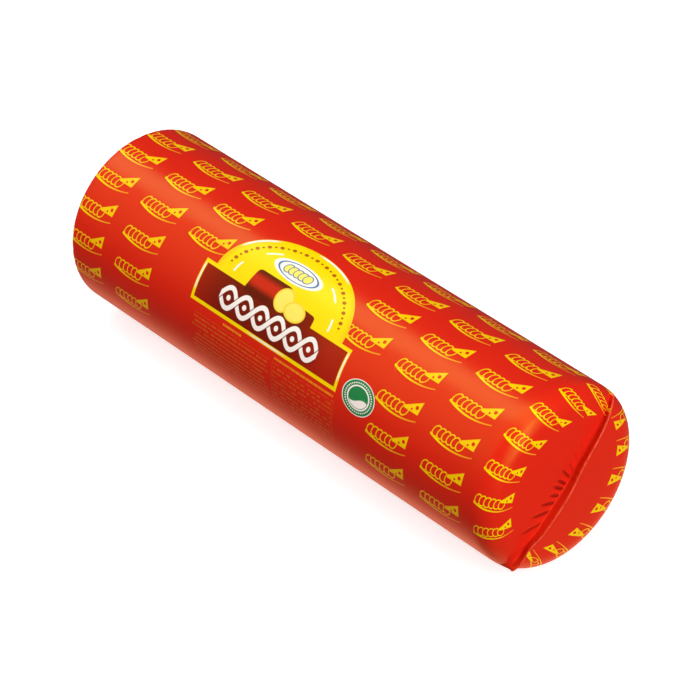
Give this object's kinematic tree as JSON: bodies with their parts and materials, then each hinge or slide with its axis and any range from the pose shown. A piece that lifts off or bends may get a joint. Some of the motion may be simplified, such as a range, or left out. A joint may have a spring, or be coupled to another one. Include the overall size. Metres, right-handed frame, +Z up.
{
  "type": "film-wrapped cheese roll",
  "caption": "Long round roll of semi-hard cheese in a glossy red printed shrink bag, with a straight welded seam across each end.",
  "frame": {"origin": "on the resting surface, below the middle of the roll", "axes": "+X along the roll towards the mouth weld, the end with the rounded edge; +Z up from the flattened strip that it rests on"},
  "size_m": [0.3256, 0.096, 0.0949],
  "materials": {
    "printed_film": "thin shrunk film, printed red with a yellow repeat, glossy",
    "cheese": null
  },
  "bodies": {
    "root": {"cheese_roll": "cheese", "film_bag": "printed_film"}
  },
  "joints": []
}
